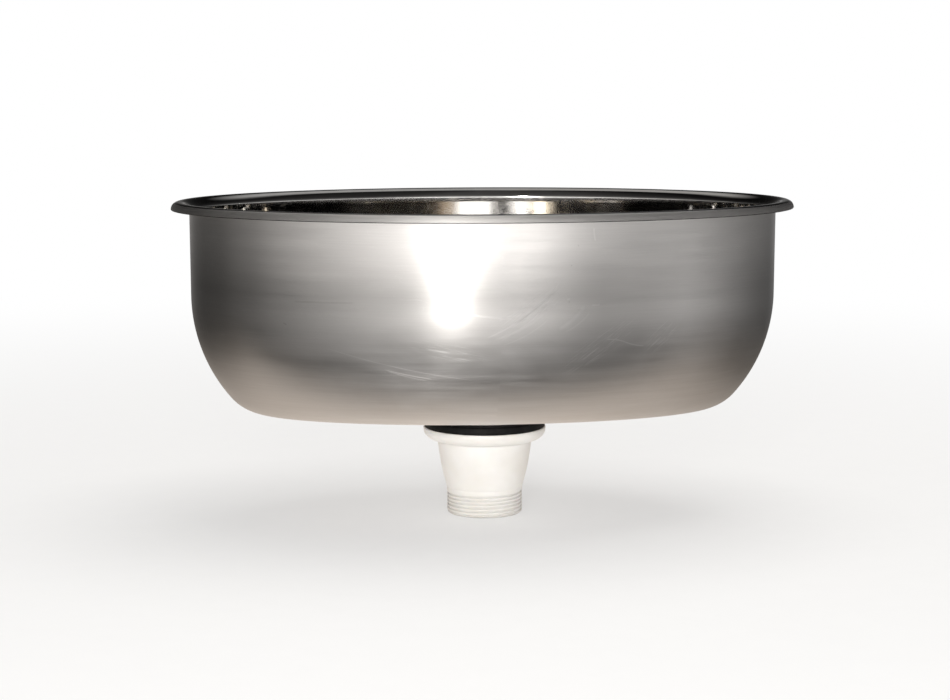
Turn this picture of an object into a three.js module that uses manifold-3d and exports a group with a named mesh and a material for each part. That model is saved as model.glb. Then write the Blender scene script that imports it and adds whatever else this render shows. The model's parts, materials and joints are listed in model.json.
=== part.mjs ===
// Drop-in pedicure foot bath: an oval stainless-steel basin with a rolled rim, hung in a counter
// cut-out, with a basket strainer waste clamped through its floor and a 1 1/2 inch threaded outlet.
// Millimetres, +Z up. The origin is on the drain axis, at the lower end of the threaded outlet;
// +X runs along the basin's length.
import * as THREE from "three";
import { mergeVertices } from "three/addons/utils/BufferGeometryUtils.js";
import Module from "manifold-3d";

const wasm = await Module();
wasm.setup();

const QUARTER = Math.PI / 2; // radians

// --- Basin ---
const RIM_HALF_LENGTH = 195; // to the outermost edge of the lip
const RIM_HALF_WIDTH = 127;
const WIDTH_SHARE = 1.32; // below the wall, an inset of 1 mm in length is this much in width
const SHEET = 1.0;
const RIDGE_Z = 198.9; // top of the rolled rim
const LIP_EDGE_Z = 194; // lower edge of the lip, which rests on the counter
const LIP_ROLL = 4.5; // outer radius of the roll, ridge to lip edge
const WALL_INSET = 11.3; // lip overhang, from the lip's edge to the outside of the wall
const NECK_BEND = 5.2; // under the sheet, where the wall bends over to the ridge
const WALL_DRAFT = 0.2; // how far the upright wall leans in towards its foot
const WALL_FOOT_Z = 141; // where the upright wall turns into the belly
const FLOOR_SLOPE = 0.018; // radians, the fall of the floor to the drain
// The belly, the corner and the heel: each an arc's radius, the angle from upright at which it
// ends, and its number of steps.
const BENDS = [
  [100, 0.7, 5],
  [30, 1.3, 4],
  [60, QUARTER - FLOOR_SLOPE, 3],
];
const SEAT_RADIUS = 40; // flat seat round the drain hole
const SEAT_RAMP = 3; // width of the step from the floor down to the seat
const SEAT_Z = 62.3; // underside of the seat
const DRAIN_HOLE_RADIUS = 30;

// --- Waste ---
const BODY_FLANGE_Z = 55.5; // top face of the plastic body
const BODY_FLANGE_RADIUS = 38.8;
const BODY_FLANGE_ROLL = 8.6; // width of the flange's rounded underside
const BODY_FLANGE_DEPTH = 6.5; // height of the flange's rounded underside
const BODY_FLANGE_EDGE = 1.8; // height of the flange's upright edge, above the rounding
const BODY_NECK_RADIUS = 29.8; // cone, just under the flange
const BODY_NECK_Z = 46;
// The bowed cone from the thread's shoulder up to the neck, as [radius, z].
const BODY_CONE = [
  [24.9, 20],
  [26.2, 24.6],
  [27.4, 30],
  [28.4, 35.8],
  [29.2, 41],
];
const BODY_WALL = 2.6;
const BODY_SHOULDER = 0.9; // plain band above the last turn of the thread
const BODY_MOUTH_RADIUS = 31.5;
const BODY_MOUTH_Z = 49.5; // lower end of the mouth that the strainer sits in
const BODY_INSIDE_RADIUS = 25; // inside of the cone, halfway up
const BODY_INSIDE_Z = 33;
const OUTLET_BORE_Z = 18; // upper end of the outlet's straight bore
const THREAD_RADIUS = 23.9; // 1 1/2 inch pipe thread, 47.8 mm across its crests
const THREAD_PITCH = 2.309;
const THREAD_DEPTH = 0.9;
const THREAD_TURNS = 7;
const OUTLET_RADIUS = 20;
const HUB_RADIUS = 7.2;
const HUB_LOW_Z = 26;
const HUB_HIGH_Z = 42;
const RIB_COUNT = 4;
const RIB_THICKNESS = 3;
const RIB_HIGH_Z = 38;
const RIB_BITE = 0.4; // how deep a rib's ends run into the hub and the cone
const INSERT_RISE = 2; // plastic below the brass bush
const INSERT_RADIUS = 4.6;
const SCREW_RADIUS = 3;
const SCREW_HEAD_RADIUS = 5.4;
const SCREW_HEAD_HEIGHT = 2.6;
const SCREW_HEAD_EDGE = 1.4; // height of the head's upright edge, below its bevel
const SCREW_SLOT_WIDTH = 1.3;
const SCREW_SLOT_DEPTH = 1.3;
const SCREW_POINT = 0.6; // bevel on the screw's end
const SCREW_END_Z = 29.5;
const WASHER_THICKNESS = 1;
const SLIP = 0.05; // radial clearance of pieces that only slide over one another

const GASKET_RADIUS = 38.3; // thick ring under the basin's seat
const GASKET_STEP = 4.2; // height of the ring's wider lower part
const GASKET_STEP_IN = 1.2;
const GASKET_BEVEL = 0.6;
const GASKET_CLEARANCE = 1; // between either ring's bore and the drain hole's edge

const CUP_FLANGE_RADIUS = 37;
const CUP_RADIUS = 28; // outside of the strainer's wall
const CUP_FLOOR_Z = 47; // top of the strainer's floor
const CUP_GASKET = 1.4;
const CUP_BEND = 2; // inner radius of the bend from the flange into the cup
const CUP_CORNER = 4; // outer radius of the corner at the cup's floor
const CUP_EDGE_DROP = 0.3; // how far the flange's rim turns down
const CUP_HOLE_RADIUS = 2.4;
const CUP_CENTRE_HOLE_RADIUS = 3.3;
const CUP_HOLE_CIRCLES = [
  { count: 8, circle: 12.5 },
  { count: 12, circle: 19 },
];

// --- Lift-out basket plug ---
const PLUG_GAP = 0.3; // between the closed plug and the strainer
const SEAL_THICKNESS = 3;
const SEAL_RADIUS = 23.4;
const SEAL_BORE_RADIUS = 8.6;
const SEAL_BEVEL = 0.8;
const SEAL_TAPER = 1.2;
const CARRIER_THICKNESS = 3;
const CARRIER_RADIUS = 19;
const CARRIER_EDGE = 2; // height of the carrier's upright edge
const CARRIER_CROWN_RADIUS = 12; // flat top that the basket rests on
const GRIP_RADIUS = 5.8; // split collar round the screw's head
const GRIP_WALL = 1.8;
const GRIP_RISE = 1.2; // from the seal's underside to the collar's lower end
const GRIP_SPLIT = 1.6;
const GRIP_SPLIT_HEIGHT = 1.5;
const BASKET_FLOOR_RADIUS = 20;
const BASKET_RIM_RADIUS = 25.6;
const BASKET_SHEET = 0.8;
const BASKET_RIM_Z = 67.5;
const BASKET_ROLL = 1.1; // radius of the rolled rim
const BASKET_CORNER = 3;
const BASKET_HOLE_RADIUS = 1.6;
const BASKET_HOLE_CIRCLES = [
  { count: 8, circle: 9 },
  { count: 12, circle: 14.5 },
];
const BASKET_SLOTS = 16;
const BASKET_SLOT_WIDTH = 2;
const BASKET_SLOT_HEIGHT = 6;
const STEM_RADIUS = 2.4;
const STEM_FOOT = 1; // from the screw's head up to the stem's lower end
const STEM_SHOULDER_RADIUS = 4.6;
const STEM_SHOULDER_HEIGHT = 1.5;
const KNOB_RADIUS = 8.5;
const KNOB_HEIGHT = 9;
const KNOB_TOP_Z = 74;
const KNOB_CAP = 3; // solid top above the stem's end
// The knob's outside, as [inset from its widest radius, height above its lower end].
const KNOB_SHAPE = [
  [3.9, 0],
  [4.3, 3.5],
  [0.8, 5.5],
  [0, 6.4],
  [1, 7.8],
  [3.5, 8.6],
];

const OVAL_SEGMENTS = 64;
const ROUND_SEGMENTS = 32;
const SMALL_SEGMENTS = 20; // screw, bush, stem and knob
const DRILL_SEGMENTS = 8;

const STEEL = { color: 0x9c9893, roughness: 0.3, metalness: 1 };
const POLISHED_STEEL = { color: 0xc8c8c8, roughness: 0.1, metalness: 1 };
const WHITE_PLASTIC = { color: 0xf2efe8, roughness: 0.4, metalness: 0 };
const GREY_PLASTIC = { color: 0x8c8f92, roughness: 0.5, metalness: 0 };
const BLACK_RUBBER = { color: 0x1c1c1b, roughness: 0.8, metalness: 0 };
const BRASS = { color: 0xb5924c, roughness: 0.35, metalness: 1 };

// A closed three.js geometry as a manifold solid, ready to be joined or cut.
function solidOf(geometry) {
  const bare = geometry.clone();
  bare.deleteAttribute("normal");
  bare.deleteAttribute("uv");
  const merged = mergeVertices(bare, 1e-4);
  const mesh = new wasm.Mesh({
    numProp: 3,
    vertProperties: new Float32Array(merged.attributes.position.array),
    triVerts: new Uint32Array(merged.index.array),
  });
  return new wasm.Manifold(mesh);
}

// A manifold solid as a three.js geometry.
function geometryOf(solid) {
  const mesh = solid.getMesh();
  const geometry = new THREE.BufferGeometry();
  geometry.setAttribute("position", new THREE.BufferAttribute(mesh.vertProperties, 3));
  geometry.setIndex(new THREE.BufferAttribute(mesh.triVerts, 1));
  geometry.computeVertexNormals();
  return geometry;
}

// A round body about the Z axis from a closed outline of [radius, z] points, listed so that the
// material lies to the left of the path: outwards along the bottom, then up the outside.
function revolve(outline, segments = ROUND_SEGMENTS) {
  const points = [...outline, outline[0]].map(([r, z]) => new THREE.Vector2(r, z));
  return new THREE.LatheGeometry(points, segments).rotateX(Math.PI / 2);
}

// A plain disc, ring or tube between two heights.
function ring(inner, outer, low, high, segments = ROUND_SEGMENTS) {
  return revolve([[inner, low], [outer, low], [outer, high], [inner, high]], segments);
}

// Points along an arc of an outline, from one angle to another in radians.
function arc(centreR, centreZ, radius, from, to, steps) {
  return Array.from({ length: steps + 1 }, (_, i) => {
    const angle = from + ((to - from) * i) / steps;
    return [centreR + radius * Math.cos(angle), centreZ + radius * Math.sin(angle)];
  });
}

// One upright round hole for each place on a circle.
function drillRing(solid, count, circle, radius, low, high) {
  let cut = solid;
  for (let i = 0; i < count; i++) {
    const angle = (2 * Math.PI * i) / count;
    const drill = new THREE.CylinderGeometry(radius, radius, high - low, DRILL_SEGMENTS)
      .rotateX(Math.PI / 2)
      .translate(circle * Math.cos(angle), circle * Math.sin(angle), (low + high) / 2);
    cut = cut.subtract(solidOf(drill));
  }
  return cut;
}

// The basin's section, as [inset, z, turn] points down the outside of the sheet from the lip's
// edge to the floor. Inset is measured inwards from the lip's edge; turn is the direction that
// the sheet's upper face looks in: 0 is inwards, a quarter turn is up and a half turn outwards.
function basinSection() {
  const under = LIP_ROLL - SHEET;
  const rollZ = RIDGE_Z - LIP_ROLL;
  const neckZ = RIDGE_Z - SHEET - NECK_BEND;
  const neckInset = WALL_INSET - NECK_BEND;
  const points = [[SHEET, LIP_EDGE_Z, 2 * QUARTER]];
  for (const a of [0, QUARTER / 3, (2 * QUARTER) / 3, QUARTER]) {
    const turn = 2 * QUARTER - a;
    points.push([LIP_ROLL - under * Math.cos(a), rollZ + under * Math.sin(a), turn]);
  }
  for (const a of [0, QUARTER / 3, (2 * QUARTER) / 3, QUARTER]) {
    const turn = QUARTER - a;
    points.push([neckInset + NECK_BEND * Math.sin(a), neckZ + NECK_BEND * Math.cos(a), turn]);
  }
  let [inset, z, from] = [WALL_INSET + WALL_DRAFT, WALL_FOOT_Z, 0];
  points.push([inset, z, from]);
  for (const [radius, to, steps] of BENDS) {
    for (let i = 1; i <= steps; i++) {
      const a = from + ((to - from) * i) / steps;
      const inwards = radius * (Math.cos(from) - Math.cos(a));
      const downwards = radius * (Math.sin(a) - Math.sin(from));
      points.push([inset + inwards, z - downwards, a]);
    }
    [inset, z, from] = points[points.length - 1];
  }
  return points;
}

// The half length and half width of the oval at an inset from the lip's edge. The lip overhangs
// the wall equally all round; below that the belly draws in faster across the width.
function ovalAt(inset) {
  const overhang = Math.min(inset, WALL_INSET);
  return [RIM_HALF_LENGTH - inset, RIM_HALF_WIDTH - overhang - WIDTH_SHARE * (inset - overhang)];
}

// Basin: a closed loop of level rings, down the outside of the sheet and back up its inside.
function bowl() {
  const outside = [];
  const inside = [];
  for (const [inset, z, turn] of basinSection()) {
    outside.push([...ovalAt(inset), z]);
    inside.push([...ovalAt(inset + SHEET * Math.cos(turn)), z + SHEET * Math.sin(turn)]);
  }
  const [footLength, footWidth, footZ] = outside[outside.length - 1];
  const rampRadius = SEAT_RADIUS + SEAT_RAMP;
  for (let i = 1; i <= 2; i++) {
    const share = i / 2;
    const length = footLength + (rampRadius - footLength) * share;
    const width = footWidth + (rampRadius - footWidth) * share;
    const z = footZ - (footLength - rampRadius) * FLOOR_SLOPE * share;
    outside.push([length, width, z]);
    inside.push([length, width, z + SHEET]);
  }
  for (const radius of [SEAT_RADIUS, DRAIN_HOLE_RADIUS]) {
    outside.push([radius, radius, SEAT_Z]);
    inside.push([radius, radius, SEAT_Z + SHEET]);
  }
  const rings = [...outside, ...inside.reverse()];
  const vertices = [];
  const faces = [];
  rings.forEach(([length, width, z], row) => {
    const next = (row + 1) % rings.length;
    for (let i = 0; i < OVAL_SEGMENTS; i++) {
      const angle = (2 * Math.PI * i) / OVAL_SEGMENTS;
      vertices.push(length * Math.cos(angle), width * Math.sin(angle), z);
      const j = (i + 1) % OVAL_SEGMENTS;
      const [a, b] = [row * OVAL_SEGMENTS + i, row * OVAL_SEGMENTS + j];
      const [c, d] = [next * OVAL_SEGMENTS + i, next * OVAL_SEGMENTS + j];
      faces.push(a, c, b, b, c, d);
    }
  });
  const geometry = new THREE.BufferGeometry();
  geometry.setAttribute("position", new THREE.Float32BufferAttribute(vertices, 3));
  geometry.setIndex(faces);
  geometry.computeVertexNormals();
  return geometry;
}

const seatTop = SEAT_Z + SHEET;
const cupFlangeLow = seatTop + CUP_GASKET;

// Thin ring between the basin's seat and the strainer's flange.
function strainerGasket() {
  const bore = DRAIN_HOLE_RADIUS + GASKET_CLEARANCE;
  return ring(bore, CUP_FLANGE_RADIUS - 1, seatTop, cupFlangeLow);
}

// Pressed strainer: a domed flange, a cup through the drain hole and a perforated floor.
function strainerCup() {
  const top = cupFlangeLow + SHEET;
  const inner = CUP_RADIUS - SHEET;
  const floorLow = CUP_FLOOR_Z - SHEET;
  const cornerR = CUP_RADIUS - CUP_CORNER;
  const cornerZ = floorLow + CUP_CORNER;
  const outline = [
    [CUP_CENTRE_HOLE_RADIUS, floorLow],
    ...arc(cornerR, cornerZ, CUP_CORNER, -QUARTER, 0, 4),
    [CUP_RADIUS, cupFlangeLow],
    [CUP_FLANGE_RADIUS, cupFlangeLow],
    [CUP_FLANGE_RADIUS - CUP_EDGE_DROP, top - CUP_EDGE_DROP],
    [CUP_FLANGE_RADIUS - CUP_BEND, top],
    ...arc(inner + CUP_BEND, top - CUP_BEND, CUP_BEND, QUARTER, 2 * QUARTER, 4),
    ...arc(cornerR, cornerZ, CUP_CORNER - SHEET, 0, -QUARTER, 4),
    [CUP_CENTRE_HOLE_RADIUS, CUP_FLOOR_Z],
  ];
  let cup = solidOf(revolve(outline));
  for (const { count, circle } of CUP_HOLE_CIRCLES) {
    cup = drillRing(cup, count, circle, CUP_HOLE_RADIUS, floorLow - 1, CUP_FLOOR_Z + 1);
  }
  return geometryOf(cup);
}

// Thick rubber ring between the underside of the basin and the plastic body.
function bodyGasket() {
  const bore = DRAIN_HOLE_RADIUS + GASKET_CLEARANCE;
  const upper = GASKET_RADIUS - GASKET_STEP_IN;
  const step = BODY_FLANGE_Z + GASKET_STEP;
  return revolve([
    [bore, BODY_FLANGE_Z],
    [GASKET_RADIUS, BODY_FLANGE_Z],
    [GASKET_RADIUS, step],
    [upper, step + GASKET_BEVEL],
    [upper, SEAT_Z],
    [bore, SEAT_Z],
  ]);
}

// Grooves of the outlet thread, as rings at the thread's pitch, from the outlet's end upwards.
function threadOutline() {
  const root = THREAD_RADIUS - THREAD_DEPTH;
  const crest = 0.1 * THREAD_PITCH; // half the width of a crest
  const points = [[root, 0]];
  for (let turn = 0; turn < THREAD_TURNS; turn++) {
    const middle = (turn + 0.5) * THREAD_PITCH;
    points.push([THREAD_RADIUS, middle - crest]);
    points.push([THREAD_RADIUS, middle + crest]);
    points.push([root, middle + THREAD_PITCH / 2]);
  }
  return points;
}

// Plastic body: a rounded flange, a cone, a threaded outlet, and a hub held by ribs inside.
function wasteBody() {
  const rollZ = BODY_FLANGE_Z - BODY_FLANGE_EDGE;
  const rollR = BODY_FLANGE_RADIUS - BODY_FLANGE_ROLL;
  const threadTop = THREAD_TURNS * THREAD_PITCH;
  const flatten = BODY_FLANGE_DEPTH / BODY_FLANGE_ROLL;
  const underside = arc(rollR, 0, BODY_FLANGE_ROLL, 0.1 - QUARTER, 0, 6)
    .map(([r, z]) => [r, rollZ + z * flatten]);
  const outline = [
    [OUTLET_RADIUS, 0],
    ...threadOutline(),
    [THREAD_RADIUS, threadTop + BODY_SHOULDER],
    ...BODY_CONE,
    [BODY_NECK_RADIUS, BODY_NECK_Z],
    [BODY_NECK_RADIUS, rollZ - BODY_FLANGE_DEPTH + 0.1],
    ...underside,
    [BODY_FLANGE_RADIUS, BODY_FLANGE_Z],
    [BODY_MOUTH_RADIUS, BODY_FLANGE_Z],
    [BODY_MOUTH_RADIUS, BODY_MOUTH_Z],
    [BODY_NECK_RADIUS - BODY_WALL, BODY_NECK_Z],
    [BODY_INSIDE_RADIUS, BODY_INSIDE_Z],
    [OUTLET_RADIUS, OUTLET_BORE_Z],
  ];
  let body = solidOf(revolve(outline));
  const hub = ring(INSERT_RADIUS + SLIP, HUB_RADIUS, HUB_LOW_Z, HUB_HIGH_Z, SMALL_SEGMENTS);
  body = body.add(solidOf(hub));
  const near = HUB_RADIUS - RIB_BITE;
  const far = BODY_INSIDE_RADIUS + RIB_BITE;
  const height = RIB_HIGH_Z - HUB_LOW_Z;
  for (let i = 0; i < RIB_COUNT; i++) {
    const rib = new THREE.BoxGeometry(far - near, RIB_THICKNESS, height)
      .translate((near + far) / 2, 0, HUB_LOW_Z + height / 2)
      .rotateZ((2 * Math.PI * (i + 0.5)) / RIB_COUNT);
    body = body.add(solidOf(rib));
  }
  return geometryOf(body);
}

// Threaded brass bush moulded into the body's hub.
function hubInsert() {
  const low = HUB_LOW_Z + INSERT_RISE;
  return ring(SCREW_RADIUS + SLIP, INSERT_RADIUS, low, HUB_HIGH_Z, SMALL_SEGMENTS);
}

const washerTop = CUP_FLOOR_Z + WASHER_THICKNESS;
const screwTop = washerTop + SCREW_HEAD_HEIGHT;

// Sealing washer under the head of the clamp screw.
function screwWasher() {
  return ring(SCREW_RADIUS + SLIP, SCREW_HEAD_RADIUS, CUP_FLOOR_Z, washerTop, SMALL_SEGMENTS);
}

// Slotted pan-head screw that pulls the strainer and the plastic body together.
function clampScrew() {
  const edgeZ = washerTop + SCREW_HEAD_EDGE;
  const outline = [
    [0, SCREW_END_Z],
    [SCREW_RADIUS - SCREW_POINT, SCREW_END_Z],
    [SCREW_RADIUS, SCREW_END_Z + SCREW_POINT],
    [SCREW_RADIUS, washerTop],
    [SCREW_HEAD_RADIUS, washerTop],
    [SCREW_HEAD_RADIUS, edgeZ],
    [SCREW_HEAD_RADIUS - 1, screwTop],
    [0, screwTop],
  ];
  const slotLength = 2 * SCREW_HEAD_RADIUS + 1;
  const slot = new THREE.BoxGeometry(slotLength, SCREW_SLOT_WIDTH, 2 * SCREW_SLOT_DEPTH)
    .translate(0, 0, screwTop);
  return geometryOf(solidOf(revolve(outline, SMALL_SEGMENTS)).subtract(solidOf(slot)));
}

const sealLow = CUP_FLOOR_Z + PLUG_GAP;
const sealTop = sealLow + SEAL_THICKNESS;
const basketFloorLow = sealTop + CARRIER_THICKNESS;
const basketFloorTop = basketFloorLow + BASKET_SHEET;

// Rubber ring that closes the strainer's floor when the plug is down.
function plugSeal() {
  return revolve([
    [SEAL_BORE_RADIUS, sealLow],
    [SEAL_RADIUS - SEAL_BEVEL, sealLow],
    [SEAL_RADIUS, sealLow + SEAL_BEVEL],
    [SEAL_RADIUS - SEAL_TAPER, sealTop],
    [SEAL_BORE_RADIUS, sealTop],
  ]);
}

// Plastic carrier over the seal, with a split collar that grips round the screw's head.
function plugCarrier() {
  const gripLow = sealLow + GRIP_RISE;
  const gripHigh = screwTop + 0.6;
  const bore = STEM_RADIUS + SLIP;
  const outline = [
    [GRIP_RADIUS, gripLow],
    [GRIP_RADIUS + GRIP_WALL, gripLow],
    [GRIP_RADIUS + GRIP_WALL, sealTop],
    [CARRIER_RADIUS, sealTop],
    [CARRIER_RADIUS, sealTop + CARRIER_EDGE],
    [CARRIER_CROWN_RADIUS, basketFloorLow],
    [bore, basketFloorLow],
    [bore, gripHigh],
    [GRIP_RADIUS, gripHigh],
  ];
  let carrier = solidOf(revolve(outline));
  const across = 2 * (GRIP_RADIUS + GRIP_WALL) + 2;
  for (let i = 0; i < 2; i++) {
    const split = new THREE.BoxGeometry(across, GRIP_SPLIT, 2 * GRIP_SPLIT_HEIGHT)
      .translate(0, 0, gripLow)
      .rotateZ((Math.PI * i) / 2);
    carrier = carrier.subtract(solidOf(split));
  }
  return geometryOf(carrier);
}

// Perforated pressed basket with a rolled rim.
function basket() {
  const rollR = BASKET_RIM_RADIUS - BASKET_ROLL;
  const rollZ = BASKET_RIM_Z - BASKET_ROLL;
  const wallR = BASKET_RIM_RADIUS - 2 * BASKET_ROLL;
  const wallZ = rollZ - 0.4;
  const cornerR = BASKET_FLOOR_RADIUS - BASKET_CORNER;
  const cornerZ = basketFloorLow + BASKET_CORNER;
  const lean = 0.2; // radians, the wall's slope outwards
  const bore = STEM_RADIUS + SLIP;
  const outline = [
    [bore, basketFloorLow],
    ...arc(cornerR, cornerZ, BASKET_CORNER, -QUARTER, -lean, 3),
    [wallR, wallZ],
    ...arc(rollR, rollZ, BASKET_ROLL, -QUARTER, QUARTER, 5),
    ...arc(rollR, rollZ, BASKET_ROLL, QUARTER + 0.6, QUARTER + 0.9, 1),
    [wallR - BASKET_SHEET, wallZ],
    ...arc(cornerR, cornerZ, BASKET_CORNER - BASKET_SHEET, -lean, -QUARTER, 3),
    [bore, basketFloorTop],
  ];
  let shell = solidOf(revolve(outline));
  for (const { count, circle } of BASKET_HOLE_CIRCLES) {
    const [low, high] = [basketFloorLow - 0.5, basketFloorTop + 0.5];
    shell = drillRing(shell, count, circle, BASKET_HOLE_RADIUS, low, high);
  }
  const middle = (basketFloorTop + rollZ) / 2 + 1;
  for (let i = 0; i < BASKET_SLOTS; i++) {
    const slot = new THREE.BoxGeometry(8, BASKET_SLOT_WIDTH, BASKET_SLOT_HEIGHT)
      .translate(BASKET_FLOOR_RADIUS + 2, 0, middle)
      .rotateZ((2 * Math.PI * (i + 0.5)) / BASKET_SLOTS);
    shell = shell.subtract(solidOf(slot));
  }
  return geometryOf(shell);
}

// Turned stem that joins the carrier, the basket and the knob; its shoulder holds the basket.
function plugStem() {
  const foot = screwTop + STEM_FOOT;
  const shoulderTop = basketFloorTop + STEM_SHOULDER_HEIGHT;
  const end = KNOB_TOP_Z - KNOB_CAP;
  const outline = [
    [0, foot],
    [STEM_RADIUS, foot],
    [STEM_RADIUS, basketFloorTop],
    [STEM_SHOULDER_RADIUS, basketFloorTop],
    [STEM_SHOULDER_RADIUS, shoulderTop],
    [STEM_RADIUS, shoulderTop + 1],
    [STEM_RADIUS, end],
    [0, end],
  ];
  return revolve(outline, SMALL_SEGMENTS);
}

// Domed finger knob with a waist below its cap.
function plugKnob() {
  const low = KNOB_TOP_Z - KNOB_HEIGHT;
  const bore = STEM_RADIUS + SLIP;
  const boreTop = KNOB_TOP_Z - KNOB_CAP + SLIP;
  const outline = [
    [bore, low],
    ...KNOB_SHAPE.map(([inset, rise]) => [KNOB_RADIUS - inset, low + rise]),
    [0, KNOB_TOP_Z],
    [0, boreTop],
    [bore, boreTop],
  ];
  return revolve(outline, SMALL_SEGMENTS);
}

function place(group, name, geometry, look) {
  const mesh = new THREE.Mesh(geometry, new THREE.MeshStandardMaterial(look));
  mesh.name = name;
  group.add(mesh);
}

const footBath = new THREE.Group();
place(footBath, "bowl", bowl(), STEEL);
place(footBath, "strainer_gasket", strainerGasket(), BLACK_RUBBER);
place(footBath, "strainer_cup", strainerCup(), POLISHED_STEEL);
place(footBath, "body_gasket", bodyGasket(), BLACK_RUBBER);
place(footBath, "waste_body", wasteBody(), WHITE_PLASTIC);
place(footBath, "hub_insert", hubInsert(), BRASS);
place(footBath, "screw_washer", screwWasher(), WHITE_PLASTIC);
place(footBath, "clamp_screw", clampScrew(), POLISHED_STEEL);

const plug = new THREE.Group();
footBath.add(plug);
place(plug, "plug_seal", plugSeal(), BLACK_RUBBER);
place(plug, "plug_carrier", plugCarrier(), GREY_PLASTIC);
place(plug, "basket", basket(), POLISHED_STEEL);
place(plug, "plug_stem", plugStem(), POLISHED_STEEL);
place(plug, "plug_knob", plugKnob(), POLISHED_STEEL);

export default footBath;
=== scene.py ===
"""Looks of the drop-in pedicure foot bath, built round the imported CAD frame.

Everything is in metres in the frame's axes: +Z up, +X along the basin, the camera on the -Y side.
Each visible piece is a fine mesh that stands for one CAD node and rides on that node's body.
"""
import json
import math

import bmesh
import bpy
from mathutils import Matrix, Vector


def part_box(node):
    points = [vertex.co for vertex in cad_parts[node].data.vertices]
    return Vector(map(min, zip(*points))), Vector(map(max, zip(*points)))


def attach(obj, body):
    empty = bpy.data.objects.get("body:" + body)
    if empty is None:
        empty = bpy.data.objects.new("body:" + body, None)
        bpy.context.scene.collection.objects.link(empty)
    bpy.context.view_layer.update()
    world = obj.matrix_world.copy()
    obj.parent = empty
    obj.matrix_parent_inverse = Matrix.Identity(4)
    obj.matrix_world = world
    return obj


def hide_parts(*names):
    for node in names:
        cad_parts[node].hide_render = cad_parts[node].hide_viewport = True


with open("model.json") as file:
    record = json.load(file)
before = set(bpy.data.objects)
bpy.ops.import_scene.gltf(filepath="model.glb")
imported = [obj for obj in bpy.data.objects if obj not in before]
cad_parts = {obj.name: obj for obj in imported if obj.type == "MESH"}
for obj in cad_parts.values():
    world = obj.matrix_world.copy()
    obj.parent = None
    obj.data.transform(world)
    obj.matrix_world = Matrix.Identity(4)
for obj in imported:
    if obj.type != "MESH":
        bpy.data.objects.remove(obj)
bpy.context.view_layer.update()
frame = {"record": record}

MM = 0.001
QUARTER = math.pi / 2

# --- Sizes read from the frame ---
bowl_low, bowl_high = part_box("bowl")
cup_low, cup_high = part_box("strainer_cup")
body_low, body_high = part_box("waste_body")
gasket_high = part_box("body_gasket")[1]

# --- Basin section; the same values as the CAD's ---
SHEET = 1.0 * MM
RIM_LENGTH = bowl_high.x  # half the length and half the width, from the drain's axis
RIM_WIDTH = bowl_high.y
WIDTH_SHARE = 1.32  # how much faster the belly tapers across the width than along the length
RIDGE_Z = bowl_high.z
LIP_EDGE_Z = RIDGE_Z - 4.9 * MM
LIP_ROLL = 4.5 * MM
LIP_EDGE_ROUND = 0.9 * MM  # height of the lip's rounded lower edge
LIP_FRONT = 9  # steps of the lip's roll, from its edge up, that have the outside's satin finish
WALL_INSET = 11.3 * MM
NECK_BEND = 5.2 * MM
WALL_DRAFT = 0.2 * MM
WALL_FOOT_Z = RIDGE_Z - 57.9 * MM
FLOOR_SLOPE = 0.018
# The belly's arcs from the wall to the floor: radius, slope where the arc ends, steps.
BENDS = [(100 * MM, 0.7, 26), (30 * MM, 1.3, 16), (60 * MM, QUARTER - FLOOR_SLOPE, 10)]
SEAT_RADIUS = 40 * MM
SEAT_RAMP = 3 * MM
SEAT_Z = bowl_low.z
SEAT_FLAT = 36 * MM  # where the strainer's gasket ends on the seat
DRAIN_RADIUS = 30 * MM
DRAIN_EDGE = 0.4 * MM

ROLL_STEPS, WALL_STEPS, FLOOR_STEPS, RAMP_STEPS, EDGE_STEPS = 12, 14, 16, 8, 10
AROUND = 256  # segments of the basin round its oval
ROUND = 128  # segments of a turned piece
SMALL_ROUND = 64  # the same for the smallest ones
CUTTER_TURN = 0.013  # radians; keeps the corners of cutters off the edges of a turned piece
UV_LAYER = "UVMap"
SHARP, FINE_SHARP, BASIN_SHARP = 0.6, 0.5, 0.9  # radians past which an edge is shaded sharp
SAME_POINT = 1e-7  # points this close are one point
SAME_CUT_POINT = 2e-6  # the same for a piece that was cut or joined

# --- Which body each CAD node rides on ---
BODY_OF = {n: b for b, nodes in frame["record"]["behaviour"]["bodies"].items() for n in nodes}


# ---------------------------------------------------------------- mesh helpers

def arc(centre, radius, start, end, steps):
    """Points (r, z) on an arc about centre, between two angles in radians."""
    angles = [start + (end - start) * i / steps for i in range(steps + 1)]
    return [(centre[0] + radius * math.cos(a), centre[1] + radius * math.sin(a)) for a in angles]


def smooth_share(share):
    """Eases a share between 0 and 1 at both ends."""
    return share * share * (3 - 2 * share)


def rounded(outline, radius, steps=3, least_turn=0.45):
    """A closed outline, rounded off at each corner that turns by more than least_turn radians."""
    points = [Vector(p) for p in outline]
    made = []
    for i, point in enumerate(points):
        before = points[i - 1] - point
        after = points[(i + 1) % len(points)] - point
        turn = math.pi - before.angle(after)
        on_axis = point.x < SAME_POINT
        if turn < least_turn or on_axis:
            made.append(tuple(point))
            continue
        longest = 0.45 * min(before.length, after.length)
        reach = min(radius * math.tan(turn / 2), longest)
        first = point + before.normalized() * reach
        last = point + after.normalized() * reach
        for k in range(steps + 1):
            t = k / steps
            made.append(tuple(first * (1 - t) ** 2 + point * 2 * t * (1 - t) + last * t ** 2))
    return made


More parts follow.
